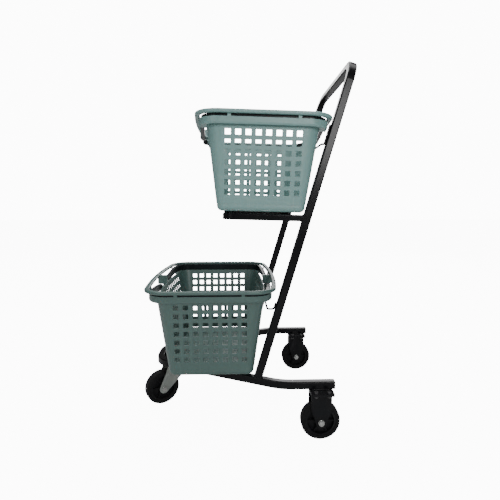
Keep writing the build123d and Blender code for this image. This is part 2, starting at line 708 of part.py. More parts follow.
def build_nodes():
    """Every node of the trolley, by name."""
    nodes = {"base_tube": base_tube(), "handle_hoop": handle_hoop()}
    nodes["rail_end_caps"] = [Pos(RAIL_END_X, side * REAR_TRACK / 2, RAIL_MID) * end_cap()
                              for side in (-1, 1)]
    nodes["shelf_frame"] = shelf_frame()
    nodes["shelf_rear_bar"] = shelf_rear_bar()
    nodes["shelf_wires"] = shelf_wires()
    nodes["deck_rods"] = deck_rods()
    nodes["deck_tie_rods"] = tie_rods()
    nodes["upper_backrest"] = backrest(UPPER_SEAT, UPPER_BACKREST_RISE, UPPER_BACKREST_LEG)
    nodes["lower_backrest"] = backrest(LOWER_SEAT, LOWER_BACKREST_RISE, LOWER_BACKREST_LEG)

    nodes["rear_mount_plates"] = both_sides(rear_mount_plate)
    nodes["front_mount_plate"] = front_mount_plate()
    spots = [(REAR_AXLE_X + x, side * REAR_TRACK / 2 + y) for side in (-1, 1)
             for x, y in bolt_spots(REAR_BOLT_X, REAR_BOLT_Y)]
    spots += [(KINGPIN_X + x, y) for x, y in bolt_spots(SWIVEL_BOLT_X, SWIVEL_BOLT_Y)]
    nodes["plate_bolts"] = [Pos(x, y, RAIL_BOTTOM) * plate_bolt() for x, y in spots]
    nodes["plate_nuts"] = [Pos(x, y, RAIL_BOTTOM) * plate_nut() for x, y in spots]

    nodes["rear_fork_left"], nodes["rear_fork_right"] = both_sides(rear_fork)
    nodes["rear_axle_bolts"] = both_sides(lambda: at_axle(axle_bolt()))
    nodes["rear_axle_nuts"] = both_sides(lambda: at_axle(axle_nut()))
    nodes["rear_axle_sleeves"] = both_sides(lambda: at_axle(axle_sleeve()))
    nodes["rear_tyre_left"], nodes["rear_tyre_right"] = both_sides(lambda: at_axle(tyre()))
    nodes["rear_hub_left"], nodes["rear_hub_right"] = both_sides(lambda: at_axle(hub()))

    ahead = FRONT_CASTER * Pos(-TRAIL, 0, WHEEL_R)
    fixed = Pos(KINGPIN_X, 0, 0)
    nodes["swivel_plate"] = fixed * swivel_plate()
    nodes["kingpin"] = fixed * kingpin()
    nodes["swivel_balls"] = [fixed * ball for ball in swivel_balls()]
    nodes["front_fork"] = FRONT_CASTER * front_fork()
    nodes["front_axle_bolt"] = ahead * axle_bolt()
    nodes["front_axle_nut"] = ahead * axle_nut()
    nodes["front_axle_sleeve"] = ahead * axle_sleeve()
    nodes["front_tyre"] = ahead * tyre()
    nodes["front_hub"] = ahead * hub()

    moulding = basket()
    for tier, seat in (("upper", UPPER_SEAT), ("lower", LOWER_SEAT)):
        raised = seat * Pos(0, 0, GAP)
        nodes[f"{tier}_basket"] = raised * moulding
        nodes[f"{tier}_bail_left"] = raised * bail(-1)
        nodes[f"{tier}_bail_right"] = raised * bail(1)
    return nodes


def as_compound(shape):
    """One compound of separate solids for a node."""
    shapes = shape if isinstance(shape, list) else [shape]
    solids = [solid for item in shapes for solid in item.solids()]
    return Compound(children=solids) if len(solids) > 1 else solids[0]


def joint_places(shift):
    """Joint centres in the final frame, in mm."""
    places = {"front_swivel": FRONT_CASTER * Pos(0, 0, CROWN_TOP),
              "front_wheel": FRONT_CASTER * Pos(-TRAIL, 0, WHEEL_R),
              "rear_wheel_left": Pos(REAR_AXLE_X, -REAR_TRACK / 2, WHEEL_R),
              "rear_wheel_right": Pos(REAR_AXLE_X, REAR_TRACK / 2, WHEEL_R)}
    for tier, seat in (("upper", UPPER_SEAT), ("lower", LOWER_SEAT)):
        for name, end in (("left", -1), ("right", 1)):
            places[f"{tier}_bail_{name}"] = seat * Pos(0, end * PIVOT_Y, PIVOT_Z + GAP)
    return {name: tuple(round(v, 4) for v in (shift * place).position)
            for name, place in places.items()}


nodes = {name: as_compound(shape) for name, shape in build_nodes().items()}
boxes = [shape.bounding_box() for shape in nodes.values()]
middle = (min(box.min.X for box in boxes) + max(box.max.X for box in boxes)) / 2
shift = Pos(-middle, 0, 0)
for name, shape in nodes.items():
    export_step(shift * shape, f"parts/{name}.step")
print("layout moved along X by", round(-middle, 4))
for name, place in joint_places(shift).items():
    print(name, place)
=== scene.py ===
"""Looks of a two-tier basket trolley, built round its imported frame.

Metres, +Z up, floor at Z = 0. The trolley travels towards -X and is pushed from +X.
"""

import json
import logging
import math
from dataclasses import dataclass
from enum import Enum
from typing import Callable, Iterable, Sequence

import bmesh
import bpy
from mathutils import Matrix, Vector


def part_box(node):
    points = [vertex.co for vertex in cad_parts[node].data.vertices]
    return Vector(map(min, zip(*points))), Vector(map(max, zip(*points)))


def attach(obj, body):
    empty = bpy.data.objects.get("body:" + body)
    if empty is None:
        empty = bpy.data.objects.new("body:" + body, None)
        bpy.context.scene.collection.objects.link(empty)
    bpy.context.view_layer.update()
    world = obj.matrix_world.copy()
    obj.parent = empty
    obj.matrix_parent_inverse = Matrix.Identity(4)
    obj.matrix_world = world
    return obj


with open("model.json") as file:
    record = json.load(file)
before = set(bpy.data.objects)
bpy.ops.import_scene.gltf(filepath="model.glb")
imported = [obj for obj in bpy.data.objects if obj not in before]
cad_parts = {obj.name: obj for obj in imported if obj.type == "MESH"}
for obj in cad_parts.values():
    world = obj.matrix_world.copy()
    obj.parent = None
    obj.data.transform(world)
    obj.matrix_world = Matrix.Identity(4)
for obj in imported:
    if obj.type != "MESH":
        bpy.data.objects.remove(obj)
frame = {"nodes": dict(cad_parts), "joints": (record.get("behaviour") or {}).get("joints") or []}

LOG = logging.getLogger("trolley")
MM = 0.001
LEAN = math.radians(16.3)
Colour = tuple[float, float, float, float]


class Tier(Enum):
    """The two places where a basket stands."""

    UPPER = "upper"
    LOWER = "lower"


class End(Enum):
    """The two short ends of a basket, and the two sides of the trolley."""

    LEFT = "left"
    RIGHT = "right"

    @property
    def sign(self) -> float:
        """Direction of this end along Y."""
        return -1.0 if self is End.LEFT else 1.0


# ------------------------------------------------------------------ node trees
class Graph:
    """Adds and joins the nodes of one node tree."""

    def __init__(self, tree: bpy.types.NodeTree) -> None:
        """Keep the tree that the nodes go into."""
        self.tree = tree

    def add(self, kind: str, settings: dict[str, object] | None = None,
            **values: object) -> bpy.types.Node:
        """Add one node.

        Args:
            kind: The node's type name.
            settings: Attributes of the node itself.
            **values: Input sockets' values, with _ for a space in a socket's name.

        Returns:
            The new node.
        """
        node = self.tree.nodes.new(kind)
        for key, value in (settings or {}).items():
            setattr(node, key, value)
        for key, value in values.items():
            node.inputs[key.replace("_", " ")].default_value = value
        return node

    def join(self, source: bpy.types.NodeSocket, target: bpy.types.NodeSocket) -> None:
        """Link an output socket to an input socket."""
        self.tree.links.new(source, target)

    def math(self, operation: str, first: object, second: object = 0.0) -> bpy.types.NodeSocket:
        """Add a Math node.

        Args:
            operation: Name of the operation.
            first: A socket or a number.
            second: A socket or a number.

        Returns:
            The result's socket.
        """
        node = self.add("ShaderNodeMath", {"operation": operation, "use_clamp": False})
        for index, operand in enumerate((first, second)):
            if isinstance(operand, bpy.types.NodeSocket):
                self.join(operand, node.inputs[index])
            else:
                node.inputs[index].default_value = operand
        return node.outputs[0]

    def ramp(self, value: bpy.types.NodeSocket, low: float, high: float,
             to_low: float = 0.0, to_high: float = 1.0) -> bpy.types.NodeSocket:
        """Stretch a value between two limits onto another range, clamped.

        Args:
            value: The socket to stretch.
            low: Value that becomes to_low.
            high: Value that becomes to_high.
            to_low: Result at low.
            to_high: Result at high.

        Returns:
            The result's socket.
        """
        node = self.add("ShaderNodeMapRange", From_Min=low, From_Max=high,
                        To_Min=to_low, To_Max=to_high)
        self.join(value, node.inputs["Value"])
        return node.outputs["Result"]

    def mix(self, factor: bpy.types.NodeSocket, first: object, second: object) -> bpy.types.NodeSocket:
        """Mix two colours.

        Args:
            factor: Socket of the mixing factor.
            first: A colour or a socket.
            second: A colour or a socket.

        Returns:
            The mixed colour's socket.
        """
        node = self.add("ShaderNodeMix", {"data_type": "RGBA"})
        self.join(factor, node.inputs["Factor"])
        for name, operand in (("A", first), ("B", second)):
            socket = next(s for s in node.inputs if s.name == name and s.type == "RGBA")
            if isinstance(operand, bpy.types.NodeSocket):
                self.join(operand, socket)
            else:
                socket.default_value = operand
        return next(s for s in node.outputs if s.type == "RGBA")


class SharedEffects:
    """The node groups that several finishes share, each built once."""

    def __init__(self) -> None:
        """Build every group."""
        self.edge_wear = self._edge_wear()
        self.dust = self._dust()
        self.grain = self._grain()
        self.mottle = self._mottle()
        self.scuffs = self._scuffs()

    @staticmethod
    def _group(name: str, inputs: dict[str, float], output: str) -> tuple[Graph, bpy.types.Node,
                                                                          bpy.types.Node]:
        """Start a group with number inputs and one number output.

        Args:
            name: The group's name.
            inputs: Input names with their usual values.
            output: Name of the output.

        Returns:
            The group's graph, its input node and its output node.
        """
        tree = bpy.data.node_groups.new(name, "ShaderNodeTree")
        for label, value in inputs.items():
            socket = tree.interface.new_socket(label, in_out="INPUT", socket_type="NodeSocketFloat")
            socket.default_value = value
        tree.interface.new_socket(output, in_out="OUTPUT", socket_type="NodeSocketFloat")
        graph = Graph(tree)
        return graph, graph.add("NodeGroupInput"), graph.add("NodeGroupOutput")

    def _edge_wear(self) -> bpy.types.NodeTree:
        """Mask of outer edges rubbed thin, broken up by noise."""
        graph, given, result = self._group(
            "edge_wear", {"Radius": 0.001, "Amount": 1.0, "Scale": 60.0}, "Mask")
        bevel = graph.add("ShaderNodeBevel", {"samples": 4})
        graph.join(given.outputs["Radius"], bevel.inputs["Radius"])
        geometry = graph.add("ShaderNodeNewGeometry")
        dot = graph.add("ShaderNodeVectorMath", {"operation": "DOT_PRODUCT"})
        graph.join(bevel.outputs["Normal"], dot.inputs[0])
        graph.join(geometry.outputs["Normal"], dot.inputs[1])
        edge = graph.ramp(dot.outputs["Value"], 0.995, 0.86)
        place = graph.add("ShaderNodeTexCoord")
        noise = graph.add("ShaderNodeTexNoise", Detail=3.0, Roughness=0.6)
        graph.join(place.outputs["Object"], noise.inputs["Vector"])
        graph.join(given.outputs["Scale"], noise.inputs["Scale"])
        broken = graph.ramp(noise.outputs["Fac"], 0.38, 0.66)
        worn = graph.math("MULTIPLY", graph.math("MULTIPLY", edge, broken), given.outputs["Amount"])
        graph.join(worn, result.inputs["Mask"])
        return graph.tree

    def _dust(self) -> bpy.types.NodeTree:
        """Mask of fine dust on faces that look upwards."""
        graph, given, result = self._group("dust", {"Amount": 0.3, "Scale": 30.0}, "Mask")
        geometry = graph.add("ShaderNodeNewGeometry")
        parts = graph.add("ShaderNodeSeparateXYZ")
        graph.join(geometry.outputs["Normal"], parts.inputs[0])
        upward = graph.ramp(parts.outputs["Z"], 0.25, 1.0)
        place = graph.add("ShaderNodeTexCoord")
        noise = graph.add("ShaderNodeTexNoise", Detail=6.0, Roughness=0.65)
        graph.join(place.outputs["Object"], noise.inputs["Vector"])
        graph.join(given.outputs["Scale"], noise.inputs["Scale"])
        cloud = graph.ramp(noise.outputs["Fac"], 0.35, 0.75)
        settled = graph.math("MULTIPLY", graph.math("MULTIPLY", upward, cloud),
                             given.outputs["Amount"])
        graph.join(settled, result.inputs["Mask"])
        return graph.tree

    def _grain(self) -> bpy.types.NodeTree:
        """Height of a fine moulded or sprayed surface."""
        graph, given, result = self._group("grain", {"Scale": 900.0, "Wave": 40.0, "Long": 0.3},
                                           "Height")
        place = graph.add("ShaderNodeTexCoord")
        fine = graph.add("ShaderNodeTexNoise", Detail=2.0, Roughness=0.5)
        long_wave = graph.add("ShaderNodeTexNoise", Detail=1.0, Roughness=0.4)
        for noise, scale in ((fine, "Scale"), (long_wave, "Wave")):
            graph.join(place.outputs["Object"], noise.inputs["Vector"])
            graph.join(given.outputs[scale], noise.inputs["Scale"])
        slow = graph.math("MULTIPLY", long_wave.outputs["Fac"], given.outputs["Long"])
        graph.join(graph.math("ADD", fine.outputs["Fac"], slow), result.inputs["Height"])
        return graph.tree

    def _mottle(self) -> bpy.types.NodeTree:
        """Slow variation of tone, from 0 to 1."""
        graph, given, result = self._group("mottle", {"Scale": 9.0, "Contrast": 0.6}, "Factor")
        place = graph.add("ShaderNodeTexCoord")
        noise = graph.add("ShaderNodeTexNoise", Detail=4.0, Roughness=0.55, Distortion=0.4)
        graph.join(place.outputs["Object"], noise.inputs["Vector"])
        graph.join(given.outputs["Scale"], noise.inputs["Scale"])
        centred = graph.math("SUBTRACT", noise.outputs["Fac"], 0.5)
        spread = graph.math("MULTIPLY", centred, given.outputs["Contrast"])
        graph.join(graph.math("ADD", spread, 0.5), result.inputs["Factor"])
        return graph.tree

    def _scuffs(self) -> bpy.types.NodeTree:
        """Mask of thin handling scratches in two directions."""
        graph, given, result = self._group("scuffs", {"Scale": 60.0, "Amount": 0.4}, "Mask")
        place = graph.add("ShaderNodeTexCoord")
        lines = []
        for turn, stretch in (((0.4, 0.3, 0.2), (1.0, 0.05, 0.05)), ((1.1, 0.2, 0.9), (0.06, 1.0, 0.08))):
            mapping = graph.add("ShaderNodeMapping", Rotation=turn, Scale=stretch)
            graph.join(place.outputs["Object"], mapping.inputs["Vector"])
            noise = graph.add("ShaderNodeTexNoise", Detail=2.0, Roughness=0.6)
            graph.join(mapping.outputs["Vector"], noise.inputs["Vector"])
            graph.join(given.outputs["Scale"], noise.inputs["Scale"])
            off_middle = graph.math("ABSOLUTE", graph.math("SUBTRACT", noise.outputs["Fac"], 0.56))
            lines.append(graph.ramp(off_middle, 0.012, 0.0))
        both = graph.math("MAXIMUM", lines[0], lines[1])
        graph.join(graph.math("MULTIPLY", both, given.outputs["Amount"]), result.inputs["Mask"])
        return graph.tree


# ------------------------------------------------------------------ finishes
@dataclass(frozen=True)
class Finish:
    """A surface finish: two tones, gloss, and how much of each shared effect it shows."""

    name: str
    colour: Colour
    tone: Colour
    worn: Colour
    roughness: float
    rough_tone: float = 0.08
    metallic: float = 0.0
    coat: float = 0.0
    specular: float = 0.5
    subsurface: float = 0.0
    mottle_scale: float = 9.0
    mottle_contrast: float = 1.2
    wear: float = 0.4
    wear_radius: float = 0.8 * MM
    dust: float = 0.08
    dust_colour: Colour = (0.42, 0.41, 0.38, 1.0)
    scuffs: float = 0.15
    scuff_scale: float = 55.0
    grain_scale: float = 900.0
    grain_wave: float = 40.0
    grain_long: float = 0.3
    bump: float = 0.15
    bump_depth: float = 0.05 * MM

    def _effect(self, graph: Graph, group: bpy.types.NodeTree, **values: float) -> bpy.types.NodeSocket:
        """Place a shared effect.

        Args:
            graph: The material's graph.
            group: The effect's node group.
            **values: Input values by name.

        Returns:
            The effect's output socket.
        """
        node = graph.add("ShaderNodeGroup", {"node_tree": group})
        for key, value in values.items():
            node.inputs[key].default_value = value
        return node.outputs[0]

    def material(self, effects: SharedEffects) -> bpy.types.Material:
        """Build the material.

        Args:
            effects: The shared node groups.

        Returns:
            The new material.
        """
        made = bpy.data.materials.new(self.name)
        made.use_nodes = True
        made.diffuse_color = self.colour
        graph = Graph(made.node_tree)
        shader = made.node_tree.nodes["Principled BSDF"]
        shader.inputs["Metallic"].default_value = self.metallic
        shader.inputs["Coat Weight"].default_value = self.coat
        shader.inputs["Coat Roughness"].default_value = 0.08
        shader.inputs["Specular IOR Level"].default_value = self.specular
        shader.inputs["Subsurface Weight"].default_value = self.subsurface
        shader.inputs["Subsurface Scale"].default_value = 2.0 * MM
        tone = self._effect(graph, effects.mottle, Scale=self.mottle_scale,
                            Contrast=self.mottle_contrast)
        colour = graph.mix(tone, self.colour, self.tone)
        scuffs = self._effect(graph, effects.scuffs, Scale=self.scuff_scale, Amount=self.scuffs)
        wear = self._effect(graph, effects.edge_wear, Radius=self.wear_radius, Amount=self.wear,
                            Scale=70.0)
        rubbed = graph.math("MAXIMUM", scuffs, wear)
        colour = graph.mix(rubbed, colour, self.worn)
        dust = self._effect(graph, effects.dust, Amount=self.dust, Scale=35.0)
        graph.join(graph.mix(dust, colour, self.dust_colour), shader.inputs["Base Color"])
        rough = graph.ramp(tone, 0.2, 0.8, self.roughness - self.rough_tone,
                           self.roughness + self.rough_tone)
        dull = graph.math("MULTIPLY", graph.math("ADD", dust, rubbed), 0.3)
        graph.join(graph.math("ADD", rough, dull), shader.inputs["Roughness"])
        grain = self._effect(graph, effects.grain, Scale=self.grain_scale, Wave=self.grain_wave,
                             Long=self.grain_long)
        bump = graph.add("ShaderNodeBump", Strength=self.bump, Distance=self.bump_depth)
        graph.join(graph.math("SUBTRACT", grain, scuffs), bump.inputs["Height"])
        graph.join(bump.outputs["Normal"], shader.inputs["Normal"])
        return made


def rgb(red: float, green: float, blue: float) -> Colour:
    """Opaque colour from linear red, green and blue."""
    return (red, green, blue, 1.0)


POWDER_BLACK = Finish(
    "powder_coat_black", rgb(0.003, 0.003, 0.004), rgb(0.005, 0.005, 0.006), rgb(0.03, 0.03, 0.03),
    roughness=0.22, rough_tone=0.05, specular=0.12, wear=0.2, dust=0.01, scuffs=0.04,
    grain_scale=700.0, grain_long=1.2, grain_wave=220.0, bump=0.22, bump_depth=0.04 * MM)
FORK_BLACK = Finish(
    "fork_coat_black", rgb(0.004, 0.004, 0.005), rgb(0.008, 0.008, 0.009), rgb(0.06, 0.06, 0.06),
    roughness=0.34, specular=0.1, wear=0.4, dust=0.01, scuffs=0.1, grain_scale=800.0, bump=0.25)
ZINC_PLATE = Finish(
    "zinc_plate", rgb(0.24, 0.27, 0.26), rgb(0.32, 0.34, 0.31), rgb(0.50, 0.51, 0.49),
    roughness=0.34, metallic=0.85, mottle_scale=45.0, wear=0.5, dust=0.05, scuffs=0.35,
    scuff_scale=120.0, grain_scale=1400.0, bump=0.2)
FASTENER_ZINC = Finish(
    "fastener_zinc", rgb(0.30, 0.31, 0.31), rgb(0.42, 0.42, 0.40), rgb(0.6, 0.6, 0.58),
    roughness=0.28, metallic=0.9, mottle_scale=120.0, wear=0.4, dust=0.03, scuffs=0.3,
    scuff_scale=220.0, grain_scale=2200.0)
FASTENER_DARK = Finish(
    "fastener_blackened", rgb(0.02, 0.02, 0.022), rgb(0.05, 0.05, 0.052), rgb(0.30, 0.30, 0.29),
    roughness=0.34, metallic=0.6, mottle_scale=120.0, wear=0.4, dust=0.02, scuffs=0.2,
    scuff_scale=220.0, grain_scale=2200.0)
TYRE_RUBBER = Finish(
    "tyre_rubber", rgb(0.004, 0.004, 0.005), rgb(0.008, 0.008, 0.008), rgb(0.025, 0.025, 0.024),
    roughness=0.62, specular=0.1, mottle_scale=30.0, wear=0.4, wear_radius=2.0 * MM, dust=0.025, scuffs=0.15,
    scuff_scale=90.0, grain_scale=1100.0, bump=0.5, bump_depth=0.08 * MM)
HUB_BLACK = Finish(
    "hub_moulding_black", rgb(0.004, 0.004, 0.005), rgb(0.008, 0.008, 0.009), rgb(0.03, 0.03, 0.03),
    roughness=0.42, specular=0.1, wear=0.3, dust=0.015, grain_scale=1300.0, bump=0.3)
CAP_BLACK = Finish(
    "cap_moulding_black", rgb(0.007, 0.007, 0.008), rgb(0.013, 0.013, 0.013), rgb(0.04, 0.04, 0.04),
    roughness=0.4, wear=0.3, dust=0.05, grain_scale=1500.0, bump=0.3)
BASKET_LIGHT = Finish(
    "basket_sage_green", rgb(0.135, 0.245, 0.236), rgb(0.150, 0.264, 0.252), rgb(0.33, 0.42, 0.40),
    roughness=0.42, rough_tone=0.05, subsurface=0.06, mottle_scale=5.0, wear=0.35,
    wear_radius=0.7 * MM, dust=0.03, scuffs=0.10, grain_scale=1500.0, bump=0.35)
# Painted shade: the lower basket takes the upper basket's green darkened, standing for the shade it lies in
# under the upper tier.
BASKET_PAINTED_SHADE = Finish(
    "basket_green_painted_shade", rgb(0.044, 0.084, 0.076), rgb(0.051, 0.094, 0.085), rgb(0.14, 0.23, 0.21),
    roughness=0.42, rough_tone=0.05, subsurface=0.06, mottle_scale=5.0, wear=0.35,
    wear_radius=0.7 * MM, dust=0.03, scuffs=0.10, grain_scale=1500.0, bump=0.35)
BAIL_BLACK = Finish(
    "bail_moulding_black", rgb(0.004, 0.006, 0.008), rgb(0.009, 0.012, 0.014),
    rgb(0.03, 0.035, 0.035), roughness=0.38, specular=0.15, wear=0.4, dust=0.03,
    grain_scale=1500.0, bump=0.3)
WELD_BLACK = Finish(
    "weld_bead_black", rgb(0.003, 0.003, 0.004), rgb(0.006, 0.006, 0.007), rgb(0.03, 0.03, 0.03),
    roughness=0.30, specular=0.12, wear=0.2, dust=0.02, grain_scale=500.0, grain_long=1.5, bump=0.5,
    bump_depth=0.1 * MM)


class Paintbox:
    """Makes each finish's material once and puts it on objects."""

    def __init__(self) -> None:
        """Build the shared effects, with no materials yet."""
        self.effects = SharedEffects()
        self.made: dict[str, bpy.types.Material] = {}

    def paint(self, target: bpy.types.Object, finish: Finish) -> None:
        """Give an object one finish.

        Args:
            target: The object.
            finish: Its finish.
        """
        if finish.name not in self.made:
            self.made[finish.name] = finish.material(self.effects)
        target.data.materials.clear()
        target.data.materials.append(self.made[finish.name])

    def paint_node(self, node: str, finish: Finish) -> None:
        """Give a CAD node one finish."""
        self.paint(frame["nodes"][node], finish)


# ------------------------------------------------------------------ mesh making
def new_piece(name: str, mesh: bmesh.types.BMesh, body: str) -> bpy.types.Object:
    """Turn a bmesh into a smooth piece that rides on a body.

    Args:
        name: The piece's name.
        mesh: Its geometry, in the frame; freed here.
        body: The CAD body that carries it.

    Returns:
        The new object.
    """
    bmesh.ops.recalc_face_normals(mesh, faces=mesh.faces)
    data = bpy.data.meshes.new(name)
    mesh.to_mesh(data)
    mesh.free()
    data.polygons.foreach_set("use_smooth", [True] * len(data.polygons))
    piece = bpy.data.objects.new(name, data)
    bpy.context.scene.collection.objects.link(piece)
    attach(piece, body)
    return piece


def skin_rings(mesh: bmesh.types.BMesh, rings: list[list[bmesh.types.BMVert]], closed: bool) -> None:
    """Join rings of vertices with quads.

    Args:
        mesh: The bmesh that holds them.
        rings: Rings with the same number of vertices each.
        closed: Whether the last ring joins the first; open ends are capped.
    """
    count = len(rings[0])
    pairs = list(zip(rings, rings[1:])) + ([(rings[-1], rings[0])] if closed else [])
    for one, two in pairs:
        for i in range(count):
            j = (i + 1) % count
            mesh.faces.new((one[i], one[j], two[j], two[i]))
    if not closed:
        mesh.faces.new(rings[0])
        mesh.faces.new(rings[-1])


def add_bead(mesh: bmesh.types.BMesh, path: Sequence[Vector], radius: float, closed: bool,
             ripple: float = 0.16, pitch: float = 2.4 * MM) -> None:
    """Add a rippled weld bead along a path.

    Args:
        mesh: The bmesh that it goes into.
        path: Corner points.
        radius: Mean radius of the bead.
        closed: Whether the path comes back to its start.
        ripple: Height of the ripples, as a share of the radius.
        pitch: Length of one ripple.
    """
    corners = list(path) + ([path[0]] if closed else [])
    points: list[Vector] = []
    for one, two in zip(corners, corners[1:]):
        steps = max(2, round((two - one).length / (pitch / 3)))
        points += [one.lerp(two, i / steps) for i in range(steps)]
    if not closed:
        points.append(corners[-1])
    rings = []
    count = len(points)
    for index, point in enumerate(points):
        before = points[(index - 1) % count] if closed or index else point
        after = points[(index + 1) % count] if closed or index < count - 1 else point
        along = (after - before).normalized()
        side = along.orthogonal().normalized()
        up = along.cross(side)
        size = radius * (1 + ripple * math.sin(index * 2 * math.pi / 3))
        if not closed and index in (0, count - 1):
            size *= 0.4
        rings.append([mesh.verts.new(point + size * (math.cos(a) * side + math.sin(a) * up))
                      for a in (k * math.tau / 8 for k in range(8))])
    align_rings(rings)
    skin_rings(mesh, rings, closed)


def align_rings(rings: list[list[bmesh.types.BMVert]]) -> None:
    """Turn each ring's order so that it starts nearest to the ring before it."""
    for before, ring in zip(rings, rings[1:]):
        def spread(start: int, ring: list = ring, before: list = before) -> float:
            """Distance between the rings with this start."""
            return sum((ring[(start + k) % len(ring)].co - before[k].co).length
                       for k in range(0, len(ring), 2))
        best = min(range(len(ring)), key=spread)
        ring[:] = ring[best:] + ring[:best]


def add_lathe(mesh: bmesh.types.BMesh, profile: Sequence[tuple[float, float]], place: Matrix,
              steps: int = 48) -> None:
    """Add a closed turned ring about the local Z axis.

    Args:
        mesh: The bmesh that it goes into.
        profile: Closed outline as pairs of radius and height.
        place: Matrix from the turned ring's frame to the row frame.
        steps: Divisions round the axis.
    """
    rings = []
    for i in range(steps):
        angle = i * math.tau / steps
        rings.append([mesh.verts.new(place @ Vector((r * math.cos(angle), r * math.sin(angle), z)))
                      for r, z in profile])
    skin_rings(mesh, rings, closed=True)


def rounded_band(inner: float, outer: float, low: float, high: float,
                 ease: float) -> list[tuple[float, float]]:
    """Outline of a flat ring with eased corners, for turning.

    Args:
        inner: Inner radius.
        outer: Outer radius.
        low: Lower height.
        high: Upper height.
        ease: Size of the eased corners.

    Returns:
        Pairs of radius and height.
    """
    return [(inner, low), (outer - ease, low), (outer - 0.3 * ease, low + 0.3 * ease),
            (outer, low + ease), (outer, high - ease), (outer - 0.3 * ease, high - 0.3 * ease),
            (outer - ease, high), (inner, high)]


def along(axis: Vector, centre: Vector) -> Matrix:
    """Matrix that puts a turned ring's axis along a direction, at a centre."""
    return Matrix.Translation(centre) @ axis.to_track_quat("Z", "Y").to_matrix().to_4x4()


def joint(name: str) -> dict:
    """The frame's joint of that name."""
    return next(item for item in frame["joints"] if item["name"] == name)


def vertices(node: str, keep: Callable[[Vector], bool]) -> list[Vector]:
    """Vertices of a CAD node that pass a test.

    Args:
        node: The node's name.
        keep: The test, on a point of the frame.

    Returns:
        The points that pass.
    """
    return [v.co.copy() for v in frame["nodes"][node].data.vertices if keep(v.co)]


def span(points: Iterable[Vector]) -> tuple[Vector, Vector]:
    """Lowest and highest corner of some points."""
    listed = list(points)
    return (Vector(min(p[i] for p in listed) for i in range(3)),
            Vector(max(p[i] for p in listed) for i in range(3)))


